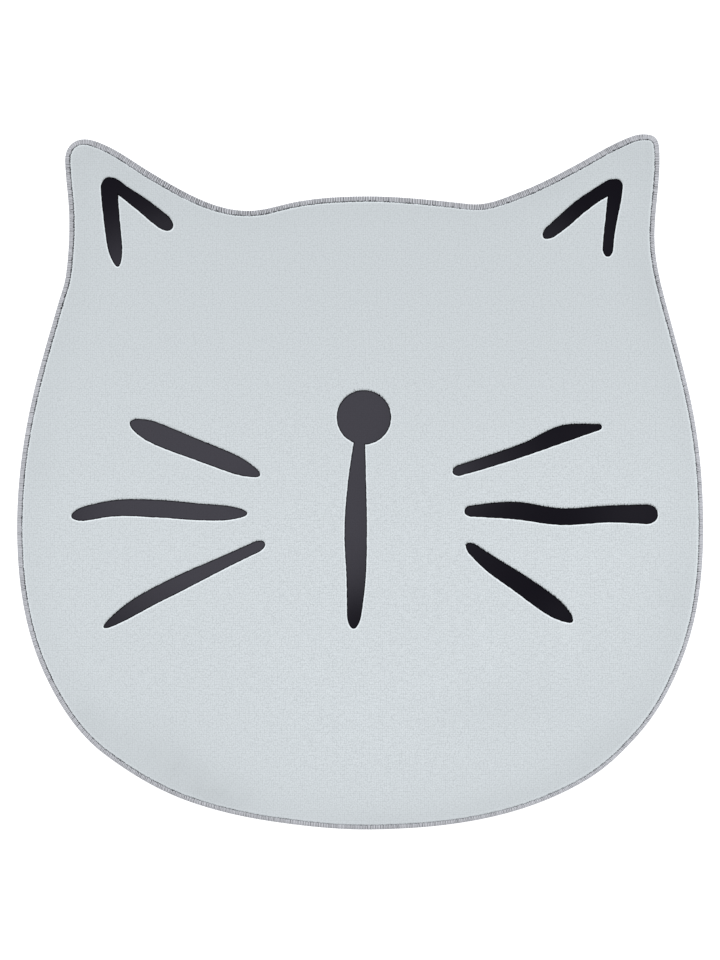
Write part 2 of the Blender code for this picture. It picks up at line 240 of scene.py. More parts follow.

# ---- the wound edge --------------------------------------------------------------------------------
# How the edge is sewn at places round the rug: how many millimetres its inner side is pulled inwards,
# how far the groove beside the pile gapes (0 is shut, 1 is open), how much lighter the thread looks, which is
# painted light and below zero painted shade, and how deeply the turns stand apart, from 0 to 1.
Seam = namedtuple("Seam", "place x y pull gape tone bite")
SEAMS = (
    Seam("crown", 0, 416, 0.8, 0.80, -0.08, 0.8),
    Seam("left brow", -105, 405, 0.7, 0.80, -0.08, 0.8),
    Seam("left saddle", -163, 395, 0.9, 0.75, -0.09, 0.9),
    Seam("left ear slope", -280, 436, 2.3, 0.80, -0.17, 1.0),
    Seam("left ear rise", -325, 463, 2.2, 0.85, -0.18, 0.6),
    Seam("left ear crest", -370, 490, 1.9, 0.90, -0.17, 0.5),
    Seam("left ear tip", -408, 498, 0.9, 0.90, -0.06, 0.7),
    Seam("left ear corner", -430, 466, 0.2, 1.15, -0.04, 0.3),
    Seam("left ear foot", -440, 260, 0.2, 1.15, -0.02, 0.1),
    Seam("left temple", -477, 125, 0.5, 1.10, 0.00, 0.0),
    Seam("left cheek", -500, -66, 0.5, 1.10, 0.00, 0.0),
    Seam("left jowl", -457, -287, 0.3, 1.00, 0.00, 0.1),
    Seam("left chin", -373, -396, 0.1, 0.80, 0.00, 0.2),
    Seam("left belly", -252, -464, 0.1, 0.45, 0.00, 0.4),
    Seam("bottom", 20, -507, 0.0, 0.10, 0.03, 0.6),
    Seam("right belly", 262, -467, -0.6, 0.35, 0.10, 0.3),
    Seam("right chin", 404, -369, -1.1, 0.75, 0.15, 0.1),
    Seam("right jowl", 473, -248, -0.9, 0.90, 0.14, 0.0),
    Seam("right cheek", 500, -66, -0.5, 0.90, 0.12, 0.0),
    Seam("right temple", 479, 131, -0.4, 0.95, 0.09, 0.0),
    Seam("right ear foot", 444, 266, -0.4, 1.05, 0.04, 0.1),
    Seam("right ear waist", 429, 362, -0.3, 1.05, 0.03, 0.1),
    Seam("right ear corner", 436, 483, 0.1, 0.90, -0.01, 0.5),
    Seam("right ear tip", 414, 506, 1.5, 0.90, -0.05, 0.4),
    Seam("right ear crest", 380, 497, 2.0, 1.00, -0.16, 0.25),
    Seam("right ear rise", 310, 459, 2.3, 1.05, -0.18, 0.2),
    Seam("right ear slope", 235, 423, 2.4, 1.00, -0.16, 0.5),
    Seam("right saddle", 169, 405, 1.6, 0.60, -0.11, 0.7),
)
CLOSED_THREAD = 0.8 * MM      # where the groove is shut, the thread reaches this much further in
CLOSED_PILE = 0.7 * MM        # and the pile this much further out

THREAD_PITCH = 2.45 * MM      # along the edge, from one turn to the next
THREAD_HALF_THICKNESS = 0.62 * MM
THREAD_FILL = 0.53            # a thread's half width as a share of the pitch
THREAD_PIECES = 4
TURN_STEPS = 18
THREAD_SIDES = 8
AHEAD = 0.01                  # of a turn, to see which way the thread runs
PULLED = (2.5 * MM, 6.4 * MM)     # the insets between which the pull takes hold of the thread
PAINTED_LIGHT_INSETS = (2.6 * MM, 5.4 * MM)     # the insets between which the thread's upper side gets painted light
OUTER_SIDE = (2.0 * MM, 4.0 * MM)     # the insets between which the lit outer side ends and painted shade begins
UPPER_SIDE = (3.5 * MM, 4.5 * MM)     # the heights between which the lit upper side begins, with painted shade below
STITCH_PITCH = 3.8 * MM       # along the edge, from one place of painted light, or notch, to the next
STITCH_LIGHT_AND_SHADE = 0.38            # how much painted light and painted shade it gets where the turns stand apart
INNER_PAINTED_LIGHT = 0.033            # how much painted light the thread gets towards the groove
PULLED_PAINTED_LIGHT = 0.099           # and how much more for each millimetre that it is pulled in, down to painted shade where it is pushed out
# How much one turn differs from the next.
TURN_SLIP = 0.07              # along the edge, as a share of the pitch
TURN_FATNESS = 0.08           # as a share of its width
TURN_REACH = 0.42 * MM        # in how far it reaches over the pile
REACH_LYING_CLOSE = 0.7       # the share of that reach where the turns lie close
REACH_STANDING_APART = 0.8    # and the share added where they stand apart
TURN_TONE = 0.03              # twice as much where they stand apart
# The middle of the thread once round the rim, starting where it comes up through the cloth.
Turn = namedtuple("Turn", "inset height width")
TURN = (
    Turn(6.85 * MM, 2.4 * MM, 0.5),
    Turn(6.70 * MM, 3.7 * MM, 0.7),
    Turn(5.90 * MM, 4.6 * MM, 1.0),
    Turn(4.4 * MM, 4.88 * MM, 1.0),
    Turn(2.3 * MM, 4.55 * MM, 1.0),
    Turn(0.85 * MM, 3.4 * MM, 1.0),
    Turn(0.64 * MM, 2.1 * MM, 1.0),
    Turn(1.35 * MM, 1.0 * MM, 1.0),
    Turn(3.0 * MM, 0.70 * MM, 0.95),
    Turn(5.0 * MM, 0.78 * MM, 0.85),
    Turn(6.5 * MM, 1.3 * MM, 0.6),
)

# ---- loose fibres ----------------------------------------------------------------------------------
# Dark fibres lean over the upper borders of the figure: fine ones close together, and coarser wisps.
# In the ears, and less so on the left, a share of them called calm is missing.
BorderFibre = namedtuple("BorderFibre", "kind step width shortest longest calm")
BORDER_FIBRES = (
    BorderFibre("hair", 0.6 * MM, 0.24 * MM, 1.4 * MM, 4.8 * MM, 0.3),
    BorderFibre("wisp", 2.4 * MM, 1.00 * MM, 2.6 * MM, 5.0 * MM, 1.0),
)
BORDER_FIBRE_ROOT = (-0.1, 0.8)   # millimetres inside the dark border
BORDER_FIBRE_SINK = 0.1 * MM      # below the dark pile's face
BORDER_FIBRE_RISE = (0.1, 0.5)    # millimetres above the light pile
BORDER_FIBRE_LEAN = 0.35          # radians to either side
BORDER_FIBRE_UNEVEN = (0.7, 1.3)  # times its width
BORDER_FIBRE_TURN = 0.7           # they grow in full where the border faces the ears at least this much
BORDER_FIBRE_CLEAR = 0.2 * MM     # none grow where another mark runs over the border by this much
CALM_EARS = (0.2, 0.3)            # metres towards the ears, from where the calm begins to where it is full
CALM_LEFT = 0.8                   # how calm the left half is
CALM_BLEND = 0.1                  # metres to either side of the middle
SHOULDER_FIBRE_STEP = 0.8 * MM    # between pale tufts that lean out over the groove
SHOULDER_FIBRE_WIDTH = 0.34 * MM
SHOULDER_FIBRE_UNEVEN = (0.6, 1.4)    # times its width
SHOULDER_FIBRE_INSET = (7.5, 9.0)     # millimetres, as are the next two
SHOULDER_FIBRE_LENGTH = (0.6, 1.7)
SHOULDER_FIBRE_RISE = (0.2, 0.9)
SHOULDER_FIBRE_HEIGHT = 5.9 * MM  # of the roots
SHOULDER_FIBRE_LEAN = 0.5         # radians to either side

# ---- colours, linear ---------------------------------------------------------------------------------
LIGHT_PILE = (0.5805, 0.6215, 0.647, 1.0)
# Painted shade down in the groove, at the pile's roots
PAINTED_GROOVE_SHADE = (0.025, 0.024, 0.030, 1.0)
DARK_PILE = (0.0050, 0.0042, 0.0075, 1.0)
# The dark pile's colour under full painted sheen
DARK_PILE_IN_PAINTED_SHEEN = (0.056, 0.054, 0.066, 1.0)
THREAD = (0.50, 0.51, 0.545, 1.0)
# Painted shade on the thread
THREAD_SHADE = (0.13, 0.13, 0.15, 1.0)
BACKING = (0.55, 0.56, 0.56, 1.0)
FLOOR = (0.90, 0.90, 0.90, 1.0)
FLOOR_GLOW = 0.6              # the floor is lit from behind like a light table
FLOOR_HALF = 6.0
FLOOR_DROP = 0.2 * MM
FLOOR_CLOUDS = 0.01           # how much lighter and darker the floor is in places
SHEEN_ROUGHNESS = 0.45

# ---- grain and light, as shares of the brightness --------------------------------------------------
DARKEST_NAP = -3.0            # hundredths
LIGHTEST_NAP = 7.0
GRAIN_IN_DARK_NAP = 0.135
GRAIN_IN_LIGHT_NAP = 0.25
ROWS_IN_LIGHT_NAP = 0.03
CLUMPS_IN_PILE = 0.003
GRAIN_IN_FIGURE = 0.08
GRAIN_IN_THREAD = 0.06
GRAIN_IN_FIBRES = 0.08
GRAIN_IN_BACKING = 0.05
WEAVE_SHADE = 0.8
WEAVE_LIGHT = 1.05
LIP_HIGHLIGHT = 0.30              # painted highlight on the lip outside a dark border, but not on the lip above it
PAINTED_TIP_HIGHLIGHT = 0.24              # painted highlight on the tips beside the groove
FIGURE_FOOT = 0.35            # what is left of the dark pile's brightness at its shaded foot
# Millimetres inside a dark border, and below zero outside it: where the painted highlight on the lip fades
# out, and where the painted shade at the foot ends.
LIP_BAND = (-2.2, -1.2)
FOOT_BAND = (0.9, 2.2)
# Millimetres that clumps and single fibres shift a dark border, and over which it changes.
BORDER_CLUMPS = 0.3
BORDER_GRAIN = 0.12
BORDER_HALF_WIDTH = 0.1
# A turn of thread counts from 0 at its sides to 1 on its back: how far the shade goes, how much further
# where the turns stand apart, and over how much more it comes into the light.
VALLEY = 0.05
VALLEY_STANDING_APART = 0.3
VALLEY_SIDE = 0.6
# Patterns in the cut fibre ends: scales beside that of single tufts, and shares of the tone.
SPREAD_SCALE = 0.36               # tufts that stand evenly spread
SPREAD_RANDOMNESS = 0.45
SPREAD_SHARE = 0.5
TUFT_SHARE = 0.15
FINE_SCALE = 1.8                  # dust-fine noise
FINE_SHARE = 0.1
ROW_SCALE = 0.42                  # rows drawn out from side to side
ROW_SQUEEZE = (0.22, 1.0, 1.0)
# Scales of the woven underside's two wave patterns.
WARP_SCALE = 160.0
WEFT_SCALE = 130.0

# ---- camera and light ------------------------------------------------------------------------------
PHOTO_WIDTH_PX = 720
PHOTO_HEIGHT_PX = 960
RUG_LEFT_PX = 16.85           # the rug's box in the photograph
RUG_RIGHT_PX = 703.5
RUG_TOP_PX = 134.05
RUG_BOTTOM_PX = 829.6
LENS_MM = 120
SENSOR_MM = 36
ROOM_STRENGTH = 0.72
WINDOW_STRENGTH = 1.4
WINDOW_SPREAD = 40            # degrees
WINDOW_LEAN = -42             # the light leans this far from straight down, from the ear side


# ---- outline and figure ----------------------------------------------------------------------------
def along(heading):
    """The unit direction of a heading in degrees."""
    angle = math.radians(heading)
    return Vector((math.cos(angle), math.sin(angle), 0.0))


def smooth_outline():
    """The whole outline as closely spaced points, centred on the middle of its box.

    Neighbouring knots are joined by a Bezier curve whose handles are as long as a circular arc of
    the same chord and turn would need.
    """
    points = []
    for knot, following in zip(OUTLINE, OUTLINE[1:] + OUTLINE[:1]):
        start = Vector((knot.x, knot.y, 0.0))
        end = Vector((following.x, following.y, 0.0))
        turn = math.radians((following.heading - knot.heading + 180) % 360 - 180)
        handle = (end - start).length / (3 * math.cos(turn / 4) ** 2)
        leaving = start + handle * along(knot.heading)
        arriving = end - handle * along(following.heading)
        span = interpolate_bezier(start, leaving, arriving, end, SAMPLES_PER_SPAN + 1)
        points += [point.xy for point in span[:-1]]
    points = np.array(points) * DRAWING_SCALE
    return points - (points.min(axis=0) + points.max(axis=0)) / 2


def lengths_along(closed):
    """How far round a closed line each of its points lies, the last one being its whole length."""
    steps = np.diff(np.vstack((closed, closed[:1])), axis=0)
    return np.concatenate(([0.0], np.cumsum(np.hypot(steps[:, 0], steps[:, 1]))))


def places_along(closed, distances):
    """Points of a closed line at the given distances round it, and the inward normal at each."""
    travelled = lengths_along(closed)
    tangent = np.roll(closed, -2, axis=0) - np.roll(closed, 2, axis=0)
    tangent /= np.hypot(tangent[:, 0], tangent[:, 1])[:, None]
    wrapped = np.mod(distances, travelled[-1])

    def read(values):
        ring = np.vstack((values, values[:1]))
        return np.stack([np.interp(wrapped, travelled, ring[:, axis]) for axis in (0, 1)], axis=1)

    place = read(closed)
    run = read(tangent)
    run /= np.hypot(run[:, 0], run[:, 1])[:, None]
    return place, np.stack((-run[:, 1], run[:, 0]), axis=1)


def seams_along(outline, distances):
    """How the edge is sewn at the given distances round it: pull in metres, gape, tone (painted light and
    shade) and bite.
    """
    travelled = lengths_along(outline)
    rows = []
    for seam in SEAMS:
        place = np.array((seam.x, seam.y)) * DRAWING_SCALE
        nearest = np.argmin(((outline - place) ** 2).sum(axis=1))
        rows.append((travelled[nearest], seam.pull * MM, seam.gape, seam.tone, seam.bite))
    rows = np.array(sorted(rows))
    wrapped = np.mod(distances, travelled[-1])
    return [np.interp(wrapped, rows[:, 0], rows[:, column], period=travelled[-1]) for column in (1, 2, 3, 4)]


def through_quarters(values, t):
    """A smooth curve that passes through five values, one at each quarter of the way."""
    values = np.array(values, float)
    slopes = np.gradient(values)
    position = np.clip(t, 0, 1) * 4
    first = np.minimum(position.astype(int), 3)
    share = position - first
    from_here = values[first] * (1 + 2 * share) + slopes[first] * share
    from_there = values[first + 1] * (3 - 2 * share) - slopes[first + 1] * (1 - share)
    return from_here * (1 - share) ** 2 + from_there * share**2


def bend_of(stroke, t):
    """How far a stroke's middle line lies to its left at t."""
    return through_quarters((0, stroke.bend_early, stroke.bend_middle, stroke.bend_late, 0), t)


def half_width_of(stroke, t, length):
    widths = (
        stroke.width_start,
        stroke.width_early,
        stroke.width_middle,
        stroke.width_late,
        stroke.width_end,
    )
    start_nose = np.clip(1 - t * length / stroke.start_nose, 0, 1)
    end_nose = np.clip(1 - (1 - t) * length / stroke.end_nose, 0, 1)
    return through_quarters(widths, t) / 2 * np.sqrt((1 - start_nose**2) * (1 - end_nose**2))


def stroke_outline(stroke):
    """The closed border of one stroke, anticlockwise."""
    t = 0.5 - 0.5 * np.cos(np.linspace(0, math.pi, STROKE_STEPS + 1))
    start = np.array((stroke.x0, stroke.y0), float)
    run = np.array((stroke.x1, stroke.y1)) - start
    length = math.hypot(*run)
    forward = run / length
    left = np.array((-forward[1], forward[0]))
    middle = start + np.outer(t * length, forward) + np.outer(bend_of(stroke, t), left)
    slope = np.gradient(middle, axis=0)
    slope /= np.hypot(slope[:, 0], slope[:, 1])[:, None]
    across = np.stack((-slope[:, 1], slope[:, 0]), axis=1) * half_width_of(stroke, t, length)[:, None]
    left_side = middle + across
    right_side = middle - across
    return np.concatenate((right_side, left_side[-2:0:-1])) * DRAWING_SCALE


def nose_outline():
    angle = np.linspace(0, 2 * math.pi, NOSE_SIDES, endpoint=False)
    disc = np.stack((np.cos(angle), np.sin(angle)), axis=1) * NOSE_RADIUS
    return (disc + (NOSE_X, NOSE_Y)) * DRAWING_SCALE


def depth_in(points, border):
    """How far each point lies inside a closed border, and below zero outside it."""
    side = np.roll(border, -1, axis=0) - border
    from_start = points[:, None, :] - border[None, :, :]
    share = (from_start * side).sum(axis=2) / (side**2).sum(axis=1)
    nearest = from_start - np.clip(share, 0, 1)[:, :, None] * side
    distance = np.hypot(nearest[:, :, 0], nearest[:, :, 1]).min(axis=1)
    start_y = border[:, 1]
    end_y = start_y + side[:, 1]
    spans = (start_y > points[:, 1:]) != (end_y > points[:, 1:])
    with np.errstate(divide="ignore", invalid="ignore"):
        crossing_x = border[:, 0] + (points[:, 1:] - start_y) / side[:, 1] * side[:, 0]
    crossings = (spans & (points[:, :1] < crossing_x)).sum(axis=1)
    return np.where(crossings % 2 == 1, distance, -distance)


def depth_in_outline(points, outline):
    """How far each of many points lies inside the rug."""
    coarse = outline[::COARSE_OUTLINE]
    parts = np.array_split(points, len(points) // POINTS_AT_ONCE + 1)
    return np.concatenate([depth_in(part, coarse) for part in parts])


def depth_in_figure(points, marks):
    """How far each point lies inside the nearest dark mark, down to the reach outside them all."""
    depth = np.full(len(points), -FIGURE_REACH)
    for mark in marks:
        low = mark.min(axis=0) - FIGURE_REACH
        high = mark.max(axis=0) + FIGURE_REACH
        near = np.flatnonzero(((points > low) & (points < high)).all(axis=1))
        depth[near] = np.maximum(depth[near], depth_in(points[near], mark))
    return depth


# ---- meshes ----------------------------------------------------------------------------------------
def smooth_step(low, high, value):
    share = np.clip((value - low) / (high - low), 0, 1)
    return share * share * (3 - 2 * share)


def wave_noise(points, length, seed):
    """Smooth noise from -1 to 1 that changes over the given length, at each point of the plane."""
    return np.array([noise.noise(Vector((x / length, y / length, seed))) for x, y in points])


def add_piece(name, points, faces, materials):
    data = bpy.data.meshes.new(name)
    data.from_pydata(points.tolist(), [], faces)
    for material in materials:
        data.materials.append(material)
    data.shade_smooth()
    piece = bpy.data.objects.new(name, data)
    bpy.context.scene.collection.objects.link(piece)
    return piece


def add_values(piece, name, values):
    attribute = piece.data.attributes.new(name, "FLOAT", "POINT")
    attribute.data.foreach_set("value", np.asarray(values, np.float32))


def belt(first, following, count):
    """Faces between two rings of the same number of points, by the index where each ring starts."""
    here = np.arange(count)
    there = (here + 1) % count
    return np.stack((first + here, first + there, following + there, following + here), axis=1).tolist()


def even_field(outline, step, inset):
    """Points of a triangular lattice that lie inside the outline by at least the inset."""
    low = outline.min(axis=0)
    high = outline.max(axis=0)
    row_step = step * math.sqrt(3) / 2
    rows = np.arange(low[1], high[1], row_step)
    columns = np.arange(low[0], high[0], step)
    x, y = np.meshgrid(columns, rows)
    x = x + (np.arange(len(rows)) % 2)[:, None] * step / 2
    points = np.stack((x.ravel(), y.ravel()), axis=1)
    return points[depth_in_outline(points, outline) > inset]


def figure_rings(marks):
    """Points that follow the dark borders, at each of the ring distances inside and outside them."""
    rings = []
    for mark in marks:
        length = lengths_along(mark)[-1]
        distances = np.arange(0, length, length / round(length / FIGURE_STEP))
        for number, offset in enumerate(FIGURE_RINGS):
            place, inward = places_along(mark, distances + number % 2 * FIGURE_STEP / 2)
            ring = place + offset * MM * inward
            kept = np.abs(depth_in_figure(ring, marks) - offset * MM) < RING_SLACK
            rings.append(ring[kept])
    return np.concatenate(rings)


def thinned(points, cell):
    """The points with at most one left in each cell of a square grid."""
    _, first = np.unique(np.round(points / cell).astype(np.int64), axis=0, return_index=True)
    return points[np.sort(first)]


def fill_ring(ring, inner):
    """Triangles that fill a ring of points, with the inner points in them, by index into both."""
    corners = [Vector(point) for point in np.concatenate((ring, inner))]
    border = list(range(len(ring)))
    inside_border = 1
    touching = 1e-7
    _, _, triangles, sources, _, _ = delaunay_2d_cdt(corners, [], [border], inside_border, touching)
    index = [source[0] if source else None for source in sources]
    return [[index[corner] for corner in triangle] for triangle in triangles]


def pile_heights(points, figure):
    """Height of the pile's face: gentle swells and lumps, and the shorn floor of the dark figure."""
    shorn = FIGURE_DEPTH * smooth_step(-LIP_OUT, LIP_IN, figure)
    swell = SWELL_HEIGHT * (wave_noise(points, SWELL_LENGTH, seed=3.7) - SWELL_SINK)
    lump = LUMP_HEIGHT * wave_noise(points, LUMP_LENGTH, seed=9.1)
    return PILE_TOP - shorn + swell + lump


def patch_tone(points, outline):
    """How much lighter or darker the pile looks at each point, in hundredths, with painted sheen over the
    middle.
    """
    tone = -RIM_SHADE * np.exp(-((depth_in_outline(points, outline) / RIM_SHADE_REACH) ** 2))
    ragged = sum(share * wave_noise(points, length, seed) for share, length, seed in FRAY_LENGTHS)
    for patch in PATCHES:
        turn = math.radians(patch.turn)
        offset = points - np.array((patch.x, patch.y)) * DRAWING_SCALE
        across = (offset[:, 0] * math.cos(turn) + offset[:, 1] * math.sin(turn)) / patch.half_x
        up = (-offset[:, 0] * math.sin(turn) + offset[:, 1] * math.cos(turn)) / patch.half_y
        frayed = 1 + min(1, FRAY_WIDTH / patch.half_x) * ragged
        tone += patch.tone * np.exp(-(across**2 + up**2) / DRAWING_SCALE**2) * frayed
    return tone


def painted_sheen(points):
    """From 0 to 1, how much painted sheen greys the dark pile."""
    amount = np.full(len(points), PAINTED_SHEEN_EVERYWHERE)
    for patch in PAINTED_SHEEN_PATCHES:
        offset = points / DRAWING_SCALE - (patch.x, patch.y)
        amount += patch.amount * np.exp(-((offset / (patch.half_x, patch.half_y)) ** 2).sum(axis=1))
    return smooth_step(0, 1, amount)


def facing_up(points, marks):
    """From 0 to 1, how far each point near a dark mark lies above it, towards the ears."""
    ahead = depth_in_figure(points + (0, FACING_STEP), marks)
    behind = depth_in_figure(points - (0, FACING_STEP), marks)
    return smooth_step(*FACING_UP, (behind - ahead) / (2 * FACING_STEP))


def make_pile_cloth(outline, marks, materials):
    """The cloth as one closed sheet: plain underside, thin rim, rounded shoulder and the pile's face."""
    around = lengths_along(outline)[-1]
    count = round(around / RIM_STEP)
    distances = np.arange(count) * around / count
    place, inward = places_along(outline, distances)
    pull, gape, _, _ = seams_along(outline, distances)
    drift = RIM_DRIFT * wave_noise(place, RIM_DRIFT_LENGTH, seed=7.7)
    stray = RIM_WANDER * (wave_noise(place, RIM_WANDER_LENGTH, seed=2.2) + drift)
    notches = NOTCH_DEPTH * np.cos(2 * math.pi * distances / STITCH_PITCH)
    shift = stray + notches + pull - (1 - gape) * CLOSED_PILE
    points = []
    faces = []
    root = []
    tip = []
    for row in RIM_ROWS:
        ring = place + (row.inset + row.loose * shift)[:, None] * inward
        points.append(np.column_stack((ring, np.full(count, row.height))))
        # Painted shade at the roots in the groove and painted highlight on the tips, less where the groove is
        # shut.
        root.append(row.root * (SHUT_ROOT + (1 - SHUT_ROOT) * gape))
        tip.append(row.tip * (SHUT_TIP + (1 - SHUT_TIP) * gape))
    for number in range(len(RIM_ROWS) - 1):
        faces += belt(number * count, (number + 1) * count, count)

    back_inner = even_field(outline, BACK_STEP, UNDERSIDE_INSET + BACK_STEP / 2)
    back_start = len(RIM_ROWS) * count
    back = fill_ring(points[0][:, :2], back_inner)
    back_faces = [[c if c < count else back_start + c - count for c in face[::-1]] for face in back]
    points.append(np.column_stack((back_inner, np.zeros(len(back_inner)))))

    field = even_field(outline, FIELD_STEP, FIELD_INSET)
    field_depth = depth_in_figure(field, marks)
    clear_of_rings = (field_depth < -FIELD_CLEAR_OUT) | (field_depth > FIELD_CLEAR_IN)
    inner = thinned(np.concatenate((figure_rings(marks), field[clear_of_rings])), CLOSEST_POINTS)
    face_start = back_start + len(back_inner)
    last_ring = (len(RIM_ROWS) - 1) * count
    face = fill_ring(points[len(RIM_ROWS) - 1][:, :2], inner)
    top_faces = [[last_ring + c if c < count else face_start + c - count for c in tri] for tri in face]
    points.append(np.column_stack((inner, np.full(len(inner), PILE_TOP))))

    points = np.concatenate(points)
    figure = depth_in_figure(points[:, :2], marks)
    raised = smooth_step(SWELL_FROM, PILE_TOP, points[:, 2])
    points[:, 2] += raised * (pile_heights(points[:, :2], figure) - PILE_TOP)
    cloth = add_piece("pile_cloth", points, faces + top_faces + back_faces, materials)
    is_back = np.zeros(len(cloth.data.polygons), np.int32)
    is_back[:count] = 1
    is_back[len(faces) + len(top_faces):] = 1
    cloth.data.polygons.foreach_set("material_index", is_back)
    others = np.zeros(len(points) - len(RIM_ROWS) * count)
    add_values(cloth, "root", np.concatenate(root + [others]))
    add_values(cloth, "tip", np.concatenate(tip + [others]))
    add_values(cloth, "figure_mm", figure / MM)
    add_values(cloth, "above_figure", facing_up(points[:, :2], marks))
    add_values(cloth, "nap_and_sheen", patch_tone(points[:, :2], outline))
    add_values(cloth, "painted_sheen", painted_sheen(points[:, :2]))
    return cloth


def closed_curve(rows, share):
    """A smooth closed curve through rows of numbers, read at shares of one turn from 0 to 1."""
    rows = np.array(rows)
    count = len(rows)
    position = np.mod(share, 1.0) * count
    first = np.floor(position).astype(int) % count
    t = (position - np.floor(position))[:, None]
    before, here = rows[(first - 1) % count], rows[first]
    there, after = rows[(first + 1) % count], rows[(first + 2) % count]
    cubic = 3 * (here - there) + after - before
    square = 2 * before - 5 * here + 4 * there - after
    return here + t / 2 * (there - before + t * (square + t * cubic))


def make_edge_thread(outline, number, first_turn, last_turn, pitch, random, material):
    """One stretch of the thread that is wound round the rim, as a long tube with capped ends."""
    steps = (last_turn - first_turn) * TURN_STEPS + 1
    turns = first_turn + np.arange(steps) / TURN_STEPS
    whole = np.floor(turns).astype(int) - first_turn
    count = last_turn - first_turn + 2
    slip = random.normal(0, TURN_SLIP, count)
    fatness = random.normal(1.0, TURN_FATNESS, count)
    reach = random.normal(0, TURN_REACH, count)
    tone = random.normal(0, 1, count)

    def eased(values):
        share = smooth_step(0, 1, turns - np.floor(turns))
        return values[whole] * (1 - share) + values[whole + 1] * share

    rows = [(turn.inset, turn.height, turn.width) for turn in TURN]
    section = closed_curve(rows, turns)
    ahead = closed_curve(rows, turns + AHEAD)
    run = ahead[:, :2] - section[:, :2]
    run /= np.hypot(run[:, 0], run[:, 1])[:, None]
    distances = (turns + eased(slip)) * pitch
    place, inward = places_along(outline, distances)
    pull, gape, painted_seam_light, bite = seams_along(outline, distances)
    reach_share = REACH_LYING_CLOSE + REACH_STANDING_APART * bite
    stretch = pull + (1 - gape) * CLOSED_THREAD + reach_share * eased(reach)
    inset = section[:, 0] + stretch * smooth_step(*PULLED, section[:, 0])
    middle = np.column_stack((place + inset[:, None] * inward, section[:, 1]))
    outward = np.column_stack((inward * run[:, 1:], -run[:, 0]))
    along_edge = np.column_stack((inward[:, 1], -inward[:, 0], np.zeros(steps)))
    half_width = THREAD_FILL * pitch * section[:, 2] * eased(fatness)
    angle = np.linspace(0, 2 * math.pi, THREAD_SIDES, endpoint=False)
    points = (
        middle[:, None, :]
        - (half_width[:, None] * np.sin(angle))[:, :, None] * along_edge[:, None, :]
        + (THREAD_HALF_THICKNESS * np.cos(angle))[None, :, None] * outward[:, None, :]
    ).reshape(-1, 3)
    faces = []
    for step in range(steps - 1):
        faces += belt(step * THREAD_SIDES, (step + 1) * THREAD_SIDES, THREAD_SIDES)
    faces.append(list(range(THREAD_SIDES))[::-1])
    faces.append(list(range((steps - 1) * THREAD_SIDES, steps * THREAD_SIDES)))
    piece = add_piece(f"edge_thread_{number}", points, faces, [material])
    # Painted shade where the thread turns under and into the groove.
    upper = smooth_step(*UPPER_SIDE, section[:, 1])
    lit_side = upper + 1 - smooth_step(*OUTER_SIDE, section[:, 0])
    # Painted light on the thread's upper inner side, and painted shade where it is pushed out far enough.
    inner_light = upper * smooth_step(*PAINTED_LIGHT_INSETS, section[:, 0]) * (INNER_PAINTED_LIGHT + PULLED_PAINTED_LIGHT * pull / MM)
    add_values(piece, "crest", np.tile(np.abs(np.cos(angle)), steps))
    add_values(piece, "lit_side", np.repeat(np.clip(lit_side, 0, 1), THREAD_SIDES))
    add_values(piece, "bite", np.repeat(bite, THREAD_SIDES))
    # Painted light and shade by place round the rug and on the upper inner side, a random tone for each turn,
    # and the stitches' painted light and shade.
    turn_tone = painted_seam_light + inner_light + TURN_TONE * (1 + bite) * eased(tone)
    # Painted light and shade in ticks along the edge, stronger where the turns stand apart.
    how_far = distances[:, None] - half_width[:, None] * np.sin(angle)
    stitch_light_and_shade = STITCH_LIGHT_AND_SHADE * bite[:, None] * np.cos(2 * math.pi * how_far / STITCH_PITCH)
    add_values(piece, "turn_tone", (turn_tone[:, None] + stitch_light_and_shade).ravel())
    return piece


# ---- fibres ----------------------------------------------------------------------------------------
def add_fibres(name, roots, reaches, widths, material):
    """Thin closed spikes, each from a three-cornered root to the tip that its reach gives."""
    count = len(roots)
    aside = np.cross(reaches, (0.0, 0.0, 1.0))
    aside /= np.linalg.norm(aside, axis=1)[:, None]
    under = np.cross(aside, reaches)
    under /= np.linalg.norm(under, axis=1)[:, None]
    half = widths[:, None] / 2
    corners = (roots - half * aside, roots + half * aside, roots + half * under, roots + reaches)
    points = np.stack(corners, axis=1).reshape(-1, 3)
    start = np.arange(count)[:, None, None] * 4
    faces = (start + np.array(((0, 1, 3), (1, 2, 3), (2, 0, 3), (0, 2, 1)))[None]).reshape(-1, 3).tolist()
    return add_piece(name, points, faces, [material])


